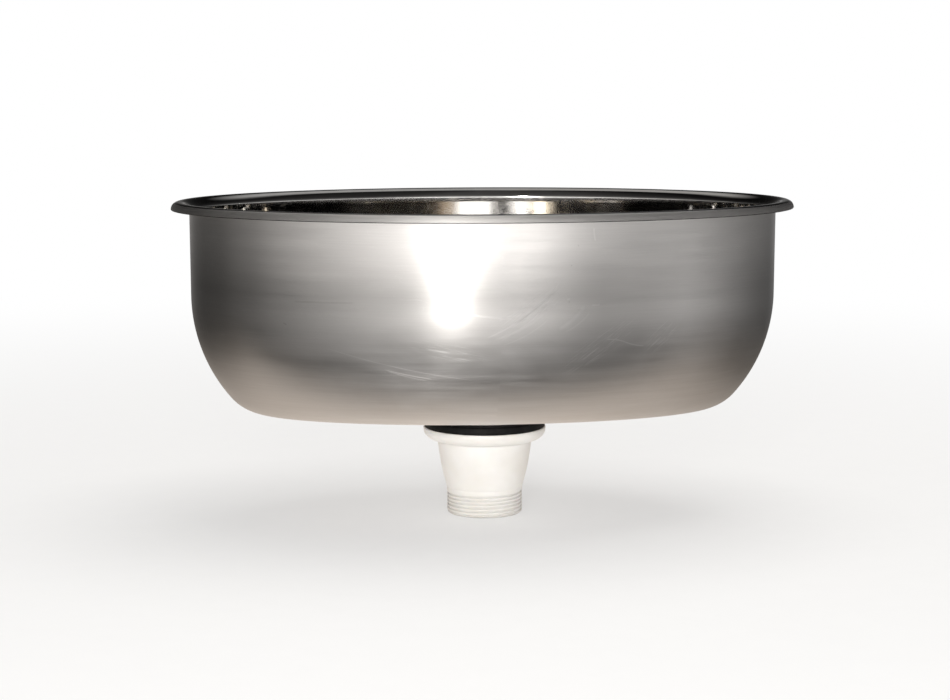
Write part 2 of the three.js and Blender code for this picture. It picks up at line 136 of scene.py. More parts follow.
def mesh_of(name, rings, uv_rows=None, uv_columns=None):
    """A closed surface through rings of points; each ring closes, and the last joins the first."""
    count = len(rings[0])
    vertices = [p for ring in rings for p in ring]
    faces = []
    for row in range(len(rings)):
        below = (row + 1) % len(rings) * count
        here = row * count
        for i in range(count):
            j = (i + 1) % count
            faces.append((here + i, below + i, below + j, here + j))
    mesh = bpy.data.meshes.new(name)
    mesh.from_pydata(vertices, [], faces)
    if uv_rows:
        layer = mesh.uv_layers.new(name=UV_LAYER)
        wrapped_rows = uv_rows + [uv_rows[-1]]
        for face in range(len(faces)):
            row, i = divmod(face, count)
            corners = ((i, row), (i, row + 1), (i + 1, row + 1), (i + 1, row))
            for corner, (column, line) in enumerate(corners):
                layer.data[4 * face + corner].uv = (uv_columns[column], wrapped_rows[line])
    return mesh


def turned(name, outline, segments=ROUND):
    """A round piece about the Z axis from a closed (r, z) outline."""
    angles = [2 * math.pi * i / segments for i in range(segments)]
    rings = [[(r * math.cos(a), r * math.sin(a), z) for a in angles] for r, z in outline]
    return bpy.data.objects.new(name, weld(mesh_of(name, rings)))


def mesh_from(name, bm):
    """Makes a named mesh from a bmesh and frees the bmesh."""
    mesh = bpy.data.meshes.new(name)
    bm.to_mesh(mesh)
    bm.free()
    return mesh


def weld(mesh, reach=SAME_POINT):
    """Merges points within reach of each other, drops bare edges, and turns the faces outwards."""
    bm = bmesh.new()
    bm.from_mesh(mesh)
    bmesh.ops.remove_doubles(bm, verts=bm.verts, dist=reach)
    bmesh.ops.dissolve_degenerate(bm, edges=bm.edges, dist=reach)
    bare = [edge for edge in bm.edges if not edge.link_faces]
    bmesh.ops.delete(bm, geom=bare, context="EDGES")
    bmesh.ops.recalc_face_normals(bm, faces=bm.faces)
    bm.to_mesh(mesh)
    bm.free()
    return mesh


def box_mesh(name, size, centre, turn=0.0):
    """A box of the given size round its centre, then turned about the Z axis."""
    bm = bmesh.new()
    bmesh.ops.create_cube(bm, size=1.0)
    place = Matrix.Rotation(turn, 4, "Z") @ Matrix.Translation(centre) @ Matrix.Diagonal((*size, 1))
    bmesh.ops.transform(bm, matrix=place, verts=bm.verts)
    return mesh_from(name, bm)


def drill_mesh(name, radius, low, high, at, segments=32):
    """An upright round cutter."""
    bm = bmesh.new()
    place = Matrix.Translation((at[0], at[1], (low + high) / 2))
    bmesh.ops.create_cone(bm, cap_ends=True, segments=segments, radius1=radius, radius2=radius,
                          depth=high - low, matrix=place)
    return mesh_from(name, bm)


def combine(piece, meshes, operation):
    """Cuts the meshes from a piece, or joins them to it."""
    scene = bpy.context.scene
    scene.collection.objects.link(piece)
    tools = []
    for mesh in meshes:
        tool = bpy.data.objects.new(mesh.name, mesh)
        scene.collection.objects.link(tool)
        tools.append(tool)
        modifier = piece.modifiers.new(mesh.name, "BOOLEAN")
        modifier.operation = operation
        modifier.solver = "EXACT"
        modifier.object = tool
    bpy.context.view_layer.update()
    evaluated = piece.evaluated_get(bpy.context.evaluated_depsgraph_get())
    piece.data = weld(bpy.data.meshes.new_from_object(evaluated), SAME_CUT_POINT)
    piece.modifiers.clear()
    for tool in tools:
        bpy.data.objects.remove(tool)
    scene.collection.objects.unlink(piece)
    return piece


def add_piece(piece, node, materials, sharp=SHARP):
    """Puts a finished piece in the scene, in place of its CAD node."""
    bpy.context.scene.collection.objects.link(piece)
    for material in materials:
        if material.name not in piece.data.materials:
            piece.data.materials.append(material)
    piece.data.shade_smooth()
    piece.data.set_sharp_from_angle(angle=sharp)
    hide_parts(node)
    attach(piece, BODY_OF[node])


# ---------------------------------------------------------------- material helpers

HAZE = 0.38  # how much polished steel scatters light when it's seen from above
HAZE_ROUGHNESS = 0.06
HAZE_START, HAZE_FULL = 0.2, 0.42  # rise of the view where the haze starts and is full


class Graph:
    """Adds nodes to a node tree; an input may be a number, a tuple or another node's socket."""

    def __init__(self, tree):
        self.tree = tree
        tree.nodes.clear()

    def add(self, kind, inputs=None, **settings):
        node = self.tree.nodes.new(kind)
        for key, value in settings.items():
            setattr(node, key, value)
        for key, value in (inputs or {}).items():
            socket = node.inputs[key]
            if isinstance(value, bpy.types.NodeSocket):
                self.tree.links.new(value, socket)
            else:
                socket.default_value = value
        return node

    def math(self, operation, a, b=0.0, c=0.0):
        return self.add("ShaderNodeMath", {0: a, 1: b, 2: c}, operation=operation).outputs[0]

    def scaled(self, vector, factors):
        node = self.add("ShaderNodeVectorMath", {0: vector, 1: factors}, operation="MULTIPLY")
        return node.outputs[0]

    def xyz(self, vector):
        return self.add("ShaderNodeSeparateXYZ", {0: vector}).outputs

    def mix(self, share, first, second):
        """A shader that goes from the first to the second as share goes from 0 to 1."""
        node = self.add("ShaderNodeMixShader", {0: share, 1: first, 2: second})
        return node.outputs[0]

    def glowing(self, kind, color, strength):
        """An emission or background shader."""
        return self.add(kind, {"Color": color, "Strength": strength}).outputs[0]

    def length(self, vector):
        return self.add("ShaderNodeVectorMath", {0: vector}, operation="LENGTH").outputs[1]

    def noise(self, vector, scale, detail=3.0, roughness=0.5, distortion=0.0):
        node = self.add("ShaderNodeTexNoise", {"Vector": vector, "Scale": scale, "Detail": detail,
                                               "Roughness": roughness, "Distortion": distortion})
        return node.outputs["Fac"]

    def remap(self, value, low, high, to_low, to_high, smooth=False):
        node = self.add("ShaderNodeMapRange", {"Value": value, "From Min": low, "From Max": high,
                                               "To Min": to_low, "To Max": to_high})
        if smooth:
            node.interpolation_type = "SMOOTHSTEP"
        return node.outputs["Result"]

    def tint(self, value, dark, light):
        node = self.add("ShaderNodeMix", {"Factor": value}, data_type="RGBA")
        node.inputs[6].default_value = (*dark, 1)
        node.inputs[7].default_value = (*light, 1)
        return node.outputs[2]

    def curve(self, value, stops):
        """A piecewise line through (input, output) stops, by a grey colour ramp."""
        low, high = stops[0][0], stops[-1][0]
        peak = max(out for _, out in stops)
        node = self.add("ShaderNodeValToRGB", {"Fac": self.remap(value, low, high, 0.0, 1.0)})
        elements = node.color_ramp.elements
        for i, (at, out) in enumerate(stops):
            position = (at - low) / (high - low)
            element = elements[i] if i < len(elements) else elements.new(position)
            element.position = position
            element.color = (out / peak, out / peak, out / peak, 1)
        return self.math("MULTIPLY", node.outputs["Color"], peak)

    def from_above(self):
        """0 for a view near level, 1 for a view from well above."""
        view = self.add("ShaderNodeNewGeometry").outputs["Incoming"]
        return self.remap(self.xyz(view)["Z"], HAZE_START, HAZE_FULL, 0.0, 1.0, smooth=True)

    def total(self, values):
        result = values[0]
        for value in values[1:]:
            result = self.math("ADD", result, value)
        return result


def new_material(name):
    material = bpy.data.materials.new(name)
    material.use_nodes = True
    return material, Graph(material.node_tree)


def close_material(graph, inputs, height, depth):
    """The Principled surface and the material's output; a height of 1 bumps it by depth."""
    surface = graph.add("ShaderNodeBsdfPrincipled", inputs)
    bump = graph.add("ShaderNodeBump", {"Height": height, "Distance": depth, "Strength": 1.0})
    graph.tree.links.new(bump.outputs[0], surface.inputs["Normal"])
    out = graph.add("ShaderNodeOutputMaterial")
    graph.tree.links.new(surface.outputs[0], out.inputs["Surface"])
    return surface


# ---------------------------------------------------------------- materials

# Marks on the front of the basin, in millimetres: start and end as (across, height above the
# outlet's end), how far the stroke bows to its right, its width, and its strength.
STROKES = [
    ((-10, 126), (33, 156), 3, 0.7, 0.8),
    ((-6, 125), (36, 152), 4, 1.2, 0.35),
    ((4, 128), (34, 160), 4, 0.8, 0.4),
    ((0, 122), (28, 138), 2, 0.6, 0.3),
    ((-35, 144), (7, 138), 1.2, 1.0, 0.75),
    ((-2, 137), (14, 146), 1, 0.8, 0.5),
    ((33, 131), (49, 145), 1.5, 1.8, 0.55),
    ((36, 129), (52, 141), 1.5, 0.8, 0.3),
    ((62, 124), (76, 121), -1, 0.6, 0.6),
    ((74, 122), (86, 119), 0.6, 0.6, 0.6),
    ((-68, 107), (-39, 101), 0.5, 0.5, 0.8),
    ((-66, 106), (-42, 100), 0.5, 0.4, 0.6),
    ((-104, 120), (-13, 100), 2, 0.5, 0.35),
    ((54, 190), (55, 182), 0.3, 0.8, 0.45),
    ((53, 145), (58, 145), 0.2, 0.9, 0.6),
    ((38, 148.5), (40, 149), 0, 0.8, 0.9),
]
# Patches of fine parallel polishing strokes: centre, half length, half width, slope in degrees.
PATCHES = [
    ((16, 141), 30, 9, 37),
    ((58, 120), 34, 11, 36),
    ((96, 124), 16, 9, 40),
    ((-30, 118), 30, 7, -12),
]
# Small pits and one long dark rub, as (start, end, width).
PITS = [
    ((44.5, 179.5), (45, 180), 0.6),
    ((40.5, 168), (41, 168.5), 0.6),
    ((-121, 146), (-84, 146.5), 0.7),
    ((-126, 133), (-124, 132), 0.6),
    ((39, 147.2), (40, 147), 0.7),
]
FRONT_START, FRONT_END = -0.02, -0.05  # the marks fade in between these Y values


def stroke_group():
    """A node group that gives 1 on a bowed stroke between two places in the XZ plane, else 0."""
    tree = bpy.data.node_groups.new("stroke", "ShaderNodeTree")
    face = tree.interface
    for name, kind in (("Place", "Vector"), ("Start", "Vector"), ("End", "Vector"),
                       ("Bow", "Float"), ("Width", "Float")):
        face.new_socket(name, in_out="INPUT", socket_type="NodeSocket" + kind)
    face.new_socket("Line", in_out="OUTPUT", socket_type="NodeSocketFloat")
    g = Graph(tree)
    given = g.add("NodeGroupInput").outputs

    def vector(operation, a, b, output=0):
        return g.add("ShaderNodeVectorMath", {0: a, 1: b}, operation=operation).outputs[output]

    along = vector("SUBTRACT", given["End"], given["Start"])
    offset = vector("SUBTRACT", given["Place"], given["Start"])
    length = g.length(along)
    share = g.math("DIVIDE", vector("DOT_PRODUCT", offset, along, 1),
                   g.math("MULTIPLY", length, length))
    side = vector("CROSS_PRODUCT", offset, along)
    away = g.math("DIVIDE", g.xyz(side)["Y"], length)
    hump = g.math("MULTIPLY", share, g.math("SUBTRACT", 1.0, share))
    bowed = g.math("ADD", away, g.math("MULTIPLY", g.math("MULTIPLY", hump, 4.0), given["Bow"]))
    near = g.math("DIVIDE", g.math("ABSOLUTE", bowed), given["Width"])
    line = g.remap(near, 0.0, 1.0, 1.0, 0.0, smooth=True)
    ends = g.remap(hump, 0.0, 0.12, 0.0, 1.0, smooth=True)
    out = g.add("NodeGroupOutput")
    tree.links.new(g.math("MULTIPLY", line, ends), out.inputs["Line"])
    return tree


def stroke(g, group, place, start, end, bow, width):
    """One bowed stroke, from places and sizes in millimetres."""
    node = g.add("ShaderNodeGroup", node_tree=group)
    g.tree.links.new(place, node.inputs["Place"])
    node.inputs["Start"].default_value = (start[0] * MM, 0, start[1] * MM)
    node.inputs["End"].default_value = (end[0] * MM, 0, end[1] * MM)
    node.inputs["Bow"].default_value = bow * MM
    node.inputs["Width"].default_value = width * MM
    return node.outputs["Line"]


def polish_patch(g, place, centre, length, width, slope):
    """Fine parallel strokes inside a soft oval."""
    middle = (centre[0] * MM, 0.0, centre[1] * MM)
    angle = math.radians(slope)
    laid = g.add("ShaderNodeVectorRotate", {"Vector": place, "Center": middle, "Angle": angle},
                 rotation_type="Y_AXIS").outputs[0]
    from_middle = g.add("ShaderNodeVectorMath", {0: laid, 1: middle},
                        operation="SUBTRACT").outputs[0]
    oval = g.scaled(from_middle, (1 / (length * MM), 0.0, 1 / (width * MM)))
    away = g.length(oval)
    lines = g.noise(g.scaled(from_middle, (70.0, 0.0, 1900.0)), 1.0, 2.0)
    inside = g.remap(away, 0.2, 1.0, 1.0, 0.0, smooth=True)
    return g.math("MULTIPLY", inside, g.remap(lines, 0.52, 0.72, 0.0, 1.0))


def front_marks(g, place):
    """Light handling scratches and dark pits on the front of the basin."""
    group = stroke_group()
    across = g.scaled(place, (1.0, 0.0, 1.0))
    light, dark = 0.0, 0.0
    for *shape, strength in STROKES:
        light = g.math("MULTIPLY_ADD", stroke(g, group, across, *shape), strength, light)
    for patch in PATCHES:
        light = g.math("MULTIPLY_ADD", polish_patch(g, across, *patch), 1.0, light)
    for start, end, width in PITS:
        dark = g.math("ADD", stroke(g, group, across, start, end, 0.0, width), dark)
    front = g.remap(g.xyz(place)["Y"], FRONT_START, FRONT_END, 0.0, 1.0)
    return g.math("MULTIPLY", light, front), g.math("MULTIPLY", dark, front)


def fine_scratches(g, surface, turn, scale, width, reach):
    """Thin wandering lines: the contours of a stretched noise, kept only in patches."""
    laid = g.add("ShaderNodeMapping", {"Vector": surface, "Rotation": (0, 0, turn),
                                       "Scale": (scale, scale * 7, scale)}).outputs[0]
    value = g.noise(laid, 1.0, 1.0, 0.4)
    line = g.remap(g.math("ABSOLUTE", g.math("SUBTRACT", value, 0.5)), 0.0, width, 1.0, 0.0)
    patch = g.noise(surface, 9.0 + turn, 2.0)
    return g.math("MULTIPLY", line, g.remap(patch, reach, reach + 0.08, 0.0, 1.0))


# Painted shade on the outside's satin steel by height in metres: a darker band across the wall, and
# a little painted light at the top.
PAINTED_SHADE_BY_HEIGHT = [(0.0, 1.0), (0.103, 1.0), (0.115, 0.85), (0.127, 0.70), (0.150, 0.58), (0.165, 0.80),
          (0.179, 1.0), (0.20, 1.06)]
# A painted lighter column towards the right end: how much of that painted band it takes back, by
# distance along the basin in metres.
PAINTED_LIGHT_COLUMN = [(-0.2, 0.0), (0.06, 0.0), (0.085, 0.35), (0.11, 0.8), (0.14, 0.8), (0.165, 0.25),
              (0.2, 0.2)]
SATIN_DARK, SATIN_LIGHT = (0.50, 0.485, 0.47), (0.72, 0.705, 0.69)


def satin_steel(name, dull=0.0):
    """Outside of the basin: satin steel with level grain, cloudy polishing and fine scratches,
    under a painted darker band by height and a painted lighter column near the right end.

    Marks and pits stay out of the bump. Cycles runs a bump's nodes three times over, and with
    them the shader would be too deep and render black.
    """
    material, g = new_material(name)
    coords = g.add("ShaderNodeTexCoord").outputs
    surface, place = coords["UV"], coords["Object"]
    grain = g.noise(g.scaled(surface, (28.0, 1500.0, 1.0)), 1.0, 4.0, 0.6)
    streak = g.noise(g.scaled(surface, (9.0, 190.0, 1.0)), 1.0, 3.0, 0.55)
    cloud = g.noise(g.scaled(place, (1.0, 1.0, 1.6)), 17.0, 4.0, 0.55, 0.6)
    scratches = g.total([
        fine_scratches(g, surface, 0.12, 26.0, 0.004, 0.52),
        fine_scratches(g, surface, -0.5, 20.0, 0.003, 0.58),
        fine_scratches(g, surface, 0.75, 22.0, 0.003, 0.60),
    ])
    marks, pits = front_marks(g, place)
    roughness = g.total([
        g.remap(cloud, 0.3, 0.7, 0.31 + dull, 0.38 + dull),
        g.remap(streak, 0.3, 0.7, -0.03, 0.03),
        g.remap(grain, 0.3, 0.7, -0.02, 0.02),
        g.math("MULTIPLY", marks, 0.12),
    ])
    shade = g.total([
        g.remap(cloud, 0.3, 0.7, 0.30, 0.62),
        g.remap(streak, 0.25, 0.75, -0.16, 0.16),
        g.remap(grain, 0.25, 0.75, -0.12, 0.12),
        g.math("MULTIPLY", marks, 1.1),
        g.math("MULTIPLY", pits, -0.9),
        g.math("MULTIPLY", scratches, 0.2),
    ])
    parts = g.xyz(place)
    # Painted shade and light: a darker band by height, lifted back by a lighter column near the
    # right end.
    column = g.curve(parts["X"], PAINTED_LIGHT_COLUMN)
    painted_light_shade = g.curve(parts["Z"], PAINTED_SHADE_BY_HEIGHT)
    painted_light_shade = g.math("ADD", painted_light_shade, g.math("MULTIPLY", column, g.math("SUBTRACT", 1.0, painted_light_shade)))
    color = g.scaled(g.tint(shade, SATIN_DARK, SATIN_LIGHT), painted_light_shade)
    height = g.total([
        grain,
        g.math("MULTIPLY", streak, 2.2),
        g.math("MULTIPLY", scratches, -0.5),
    ])
    tangent = g.add("ShaderNodeTangent", direction_type="UV_MAP", uv_map=UV_LAYER).outputs[0]
    close_material(g, {"Base Color": color, "Metallic": 1.0, "Roughness": roughness,
                       "Anisotropic": 0.85, "Anisotropic Rotation": 0.25,
                       "Tangent": tangent}, height, 0.004 * MM)
    return material


def hazy(g, rough):
    """Metallic and Roughness of polished steel, which scatters more light when seen from above."""
    above = g.from_above()
    return {"Metallic": g.remap(above, 0.0, 1.0, 1.0, 1.0 - HAZE),
            "Roughness": g.total(rough + [g.math("MULTIPLY", above, HAZE_ROUGHNESS)])}


def mirror_steel(name, roughness, color):
    """Inside of the basin, the strainer and the lip's lower edge: polished, with faint wear; on the
    lip's lower edge a near-black colour is painted shade.
    """
    material, g = new_material(name)
    place = g.add("ShaderNodeTexCoord").outputs["Object"]
    ripple = g.noise(place, 22.0, 2.0)
    wear = g.noise(place, 160.0, 5.0, 0.65)
    swirl = g.noise(g.scaled(place, (1.0, 1.0, 6.0)), 420.0, 2.0)
    rough = [g.remap(wear, 0.3, 0.75, roughness * 0.7, roughness * 1.4),
             g.remap(swirl, 0.4, 0.8, 0.0, 0.03)]
    worn = tuple(c * 0.86 for c in color)
    shade = g.tint(g.remap(wear, 0.3, 0.7, 0.35, 1.0), worn, color)
    surface = close_material(g, {"Base Color": shade, **hazy(g, rough)}, ripple, 0.018 * MM)
    surface.inputs["Metallic"].default_value = 1.0
    return material


def turned_steel():
    """Small steel parts with fine rings left by turning."""
    material, g = new_material("turned_steel")
    place = g.add("ShaderNodeTexCoord").outputs["Object"]
    parts = g.xyz(place)
    flat = g.add("ShaderNodeCombineXYZ", {0: parts["X"], 1: parts["Y"]}).outputs[0]
    radius = g.length(flat)
    rings = g.add("ShaderNodeCombineXYZ", {0: radius, 1: parts["Z"]}).outputs[0]
    lines = g.noise(rings, 5200.0, 2.0, 0.7)
    wear = g.noise(place, 300.0, 4.0)
    rough = [g.remap(lines, 0.3, 0.7, 0.12, 0.24), g.remap(wear, 0.3, 0.7, -0.03, 0.05)]
    shade = g.tint(wear, (0.60, 0.59, 0.575), (0.74, 0.73, 0.715))
    tangent = g.add("ShaderNodeTangent", direction_type="RADIAL", axis="Z").outputs[0]
    surface = close_material(g, {"Base Color": shade, **hazy(g, rough), "Anisotropic": 0.4,
                                 "Tangent": tangent}, lines, 0.0015 * MM)
    surface.inputs["Metallic"].default_value = 1.0
    return material


def plastic(name, dark, light, roughness):
    """Moulded plastic: a faint orange-peel skin, colour drift, dull scuffs, and painted shade that
    darkens grooves and recesses.
    """
    material, g = new_material(name)
    place = g.add("ShaderNodeTexCoord").outputs["Object"]
    skin = g.noise(place, 900.0, 3.0)
    drift = g.noise(place, 45.0, 3.0)
    scuff = g.noise(g.scaled(place, (1.0, 1.0, 3.0)), 130.0, 5.0, 0.7)
    rough = g.total([g.remap(skin, 0.3, 0.7, roughness - 0.04, roughness + 0.04),
                     g.remap(scuff, 0.55, 0.8, 0.0, 0.15)])
    patches = g.total([g.remap(drift, 0.3, 0.7, 0.3, 1.0), g.remap(scuff, 0.6, 0.85, 0.0, -0.4)])
    # Painted shade: the colour darkens in grooves, creases and under ledges, where ambient
    # occlusion finds them.
    painted_recess_shade = g.add("ShaderNodeAmbientOcclusion", {"Distance": 2.5 * MM}).outputs["AO"]
    shade = g.scaled(g.tint(patches, dark, light), g.remap(painted_recess_shade, 0.35, 0.85, 0.66, 1.0))
    close_material(g, {"Base Color": shade, "Roughness": rough, "IOR": 1.49,
                       "Subsurface Weight": 0.08, "Subsurface Radius": (0.004, 0.003, 0.002),
                       "Subsurface Scale": 1.0}, skin, 0.012 * MM)
    return material


def rubber():
    """Black rubber: dull, slightly dusty, with a fine pebbled skin."""
    material, g = new_material("black_rubber")
    place = g.add("ShaderNodeTexCoord").outputs["Object"]
    skin = g.noise(place, 1400.0, 4.0, 0.6)
    dust = g.noise(place, 110.0, 5.0, 0.7)
    rough = g.remap(skin, 0.3, 0.7, 0.5, 0.68)
    dusty = g.remap(dust, 0.45, 0.8, 0.0, 1.0)
    shade = g.tint(dusty, (0.005, 0.005, 0.005), (0.016, 0.0155, 0.015))
    close_material(g, {"Base Color": shade, "Roughness": rough, "Specular IOR Level": 0.13},
                   skin, 0.03 * MM)
    return material


def brass():
    """Machined brass, slightly dulled."""
    material, g = new_material("brass")
    place = g.add("ShaderNodeTexCoord").outputs["Object"]
    tarnish = g.noise(place, 260.0, 4.0, 0.6)
    shade = g.tint(tarnish, (0.50, 0.33, 0.12), (0.82, 0.62, 0.30))
    close_material(g, {"Base Color": shade, "Metallic": 1.0,
                       "Roughness": g.remap(tarnish, 0.3, 0.7, 0.38, 0.24)}, tarnish, 0.006 * MM)
    return material


SATIN = satin_steel("satin_steel")
LIP = satin_steel("lip_steel", 0.25)
MIRROR = mirror_steel("mirror_steel", 0.06, (0.60, 0.59, 0.575))
# The lip's lower edge in near-black steel: painted shade for the shadow line under the lip.
PAINTED_SHADE_LIP_EDGE = mirror_steel("lip_edge_painted_shade", 0.35, (0.03, 0.029, 0.028))
PRESSED = mirror_steel("pressed_steel", 0.13, (0.72, 0.71, 0.70))
TURNED = turned_steel()
WHITE = plastic("white_plastic", (0.83, 0.80, 0.75), (0.92, 0.905, 0.88), 0.33)
GREY = plastic("grey_plastic", (0.19, 0.195, 0.20), (0.26, 0.265, 0.27), 0.42)
RUBBER = rubber()
BRASS = brass()


# ---------------------------------------------------------------- basin

def basin_section():
    """(inset, z, turn) down the outside of the sheet, from the lip's edge to the floor."""
    under = LIP_ROLL - SHEET
    roll_z = RIDGE_Z - LIP_ROLL
    neck_z = RIDGE_Z - SHEET - NECK_BEND
    neck_inset = WALL_INSET - NECK_BEND
    steps = [QUARTER * i / ROLL_STEPS for i in range(ROLL_STEPS + 1)]
    points = [(SHEET, LIP_EDGE_Z + LIP_EDGE_ROUND, 2 * QUARTER)]
    points += [(LIP_ROLL - under * math.cos(a), roll_z + under * math.sin(a), 2 * QUARTER - a)
               for a in steps]
    points += [(neck_inset + NECK_BEND * math.sin(a), neck_z + NECK_BEND * math.cos(a), QUARTER - a)
               for a in steps]
    inset, z, turn = WALL_INSET + WALL_DRAFT, WALL_FOOT_Z, 0.0
    points += [(WALL_INSET + WALL_DRAFT * i / WALL_STEPS, neck_z + (z - neck_z) * i / WALL_STEPS,
                turn) for i in range(1, WALL_STEPS + 1)]
    for radius, end, count in BENDS:
        start = turn
        for i in range(1, count + 1):
            a = start + (end - start) * i / count
            points.append((inset + radius * (math.cos(start) - math.cos(a)),
                           z - radius * (math.sin(a) - math.sin(start)), a))
        inset, z, turn = points[-1]
    return points


def oval_at(inset):
    """Half length and half width of the basin at an inset from the lip's edge."""
    overhang = min(inset, WALL_INSET)
    return RIM_LENGTH - inset, RIM_WIDTH - overhang - WIDTH_SHARE * (inset - overhang)


def basin_levels():
    """(half length, half width, z) of each ring: the outside of the sheet, then its inside."""
    outside, inside = [], []
    for inset, z, turn in basin_section():
        outside.append((*oval_at(inset), z))
        inside.append((*oval_at(inset + SHEET * math.cos(turn)), z + SHEET * math.sin(turn)))
    foot_length, foot_width, foot_z = outside[-1]
    ramp_radius = SEAT_RADIUS + SEAT_RAMP
    fall = (foot_length - ramp_radius) * FLOOR_SLOPE
    bottom = []
    for i in range(1, FLOOR_STEPS + 1):
        share = i / FLOOR_STEPS
        bottom.append((foot_length + (ramp_radius - foot_length) * share,
                      foot_width + (ramp_radius - foot_width) * share, foot_z - fall * share))
    ramp_z = bottom[-1][2]
    for i in range(1, RAMP_STEPS + 1):
        share = i / RAMP_STEPS
        radius = ramp_radius - SEAT_RAMP * share
        bottom.append((radius, radius, ramp_z + (SEAT_Z - ramp_z) * smooth_share(share)))
    for radius in (SEAT_FLAT, DRAIN_RADIUS + DRAIN_EDGE, DRAIN_RADIUS):
        bottom.append((radius, radius, SEAT_Z))
    outside += bottom
    inside += [(length, width, z + SHEET) for length, width, z in bottom]
    return outside, inside


def lip_edge():
    """Levels round the rolled lip's lower edge, from its front to its back."""
    half = SHEET / 2
    levels = []
    for i in range(EDGE_STEPS):
        angle = math.pi * i / EDGE_STEPS
        inset = half - half * math.cos(angle)
        levels.append((*oval_at(inset), LIP_EDGE_Z + LIP_EDGE_ROUND * (1 - math.sin(angle))))
    return levels


def basin():
    """The pressed bowl; its UVs are real lengths along and round the sheet, for the grain."""
    outside, inside = basin_levels()
    levels = outside + inside[:0:-1] + lip_edge()
    angles = [2 * math.pi * i / AROUND - QUARTER for i in range(AROUND)]
    rings = [[(a * math.cos(t), b * math.sin(t), z) for t in angles] for a, b, z in levels]
    rows = [0.0]
    for (a, _, z0), (b, _, z1) in zip(levels, levels[1:]):
        rows.append(rows[-1] + math.hypot(a - b, z1 - z0))
    wall = rings[len(rings) // 8]
    columns = [0.0]
    for i in range(AROUND):
        columns.append(columns[-1] + (Vector(wall[(i + 1) % AROUND]) - Vector(wall[i])).length)
    mesh = mesh_of("basin_shell", rings, rows, columns)
    for material in (SATIN, MIRROR, LIP, PAINTED_SHADE_LIP_EDGE):
        mesh.materials.append(material)
    edge_start = len(outside) + len(inside) - 1
    starts = (len(outside) - 1, edge_start - LIP_FRONT, edge_start)
    for face in mesh.polygons:
        row = face.index // AROUND
        face.material_index = sum(row >= start for start in starts)
    add_piece(bpy.data.objects.new("basin_shell", weld(mesh)), "bowl", [], BASIN_SHARP)


basin()


# ---------------------------------------------------------------- rings, strainer and waste body

def in_mm(points):
    return [(r * MM, z * MM) for r, z in points]


def block(inner, outer, low, high):
    """The outline of a plain ring or tube."""
    return [(inner, low), (outer, low), (outer, high), (inner, high)]


def turned_piece(name, node, outline, material, edge, segments=ROUND):
    """A turned piece from an outline in millimetres, its corners rounded, in place of its node."""
    made = turned(name, rounded(in_mm(outline), edge * MM), segments)
    add_piece(made, node, [material])


def holes(name, circles, radius, low, high):
    """Upright cutters on circles of (count, circle radius), in millimetres."""
    cutters = []
    for count, circle in circles:
        for i in range(count):
            angle = CUTTER_TURN + 2 * math.pi * i / count
            place = (circle * MM * math.cos(angle), circle * MM * math.sin(angle))
            made = f"{name}_{len(cutters)}"
            cutters.append(drill_mesh(made, radius * MM, low * MM, high * MM, place))
    return cutters


# --- Levels and radii of the waste and the strainer, in millimetres ---
SEAT_LOW = SEAT_Z / MM
SEAT_TOP = SEAT_LOW + SHEET / MM
CUP_LOW = cup_low.z / MM
CUP_TOP = cup_high.z / MM
CUP_FLOOR = CUP_LOW + 1.0
WASHER = 1.0
FLANGE_TOP = body_high.z / MM
GASKET_OUT = gasket_high.x / MM
GASKET_STEP = FLANGE_TOP + 4.2  # where the thick gasket steps in
SEAL_BORE = 31  # inner radius of both gaskets at the seat

turned_piece("rim_gasket", "strainer_gasket",
             block(SEAL_BORE, SEAT_FLAT / MM, SEAT_TOP, SEAT_TOP + 1.4), RUBBER, 0.4)

turned_piece("waste_gasket", "body_gasket", [
    (SEAL_BORE, FLANGE_TOP), (GASKET_OUT - 0.15, FLANGE_TOP), (GASKET_OUT, FLANGE_TOP + 1.2),
    (GASKET_OUT, GASKET_STEP - 1.0), (GASKET_OUT - 0.2, GASKET_STEP),
    (GASKET_OUT - 1.2, GASKET_STEP + 0.5), (GASKET_OUT - 1.2, SEAT_LOW), (SEAL_BORE, SEAT_LOW),
], RUBBER, 0.35, AROUND)


def strainer():
    """The flanged cup with a drilled floor that clamps the bowl."""
    wall, sheet, corner, mouth, bore = 28, 1, 4, 2, 3.3
    rim = cup_high.x / MM
    flange_low = CUP_TOP - sheet
    outline = [(bore, CUP_LOW)]
    outline += arc((wall - corner, CUP_LOW + corner), corner, -QUARTER, 0, 10)
    outline += [(wall, flange_low - 0.4), (wall + 0.4, flange_low)]
    outline += [(rim - 0.3, flange_low), (rim, flange_low + 0.3)]
    outline += arc((rim - 1.1, flange_low + 0.2), 0.95, 0.3, QUARTER - 0.25, 5)
    outline += [(35.0, CUP_TOP)]
    outline += arc((wall - sheet + mouth, CUP_TOP - mouth), mouth, QUARTER, 2 * QUARTER, 10)
    outline += arc((wall - corner, CUP_LOW + corner), corner - sheet, 0, -QUARTER, 10)
    outline += [(14.0, CUP_FLOOR), (bore, CUP_FLOOR)]
    made = turned("strainer_bowl", in_mm(outline))
    cutters = holes("cup_hole", [(8, 12.5), (12, 19)], 2.4, CUP_LOW - 1, CUP_FLOOR + 1)
    add_piece(combine(made, cutters, "DIFFERENCE"), "strainer_cup", [PRESSED], FINE_SHARP)


def clamped(value):
    return min(max(value, 0.0), 1.0)


GROOVE_REACH, GROOVE_FLANK = 0.4, 0.34  # a thread's groove, in pitches: half its width, its flank
CHAMFER_CUT, CHAMFER_SLOPE = 1.15, 0.9  # a thread's chamfered end: in depths, and its slope


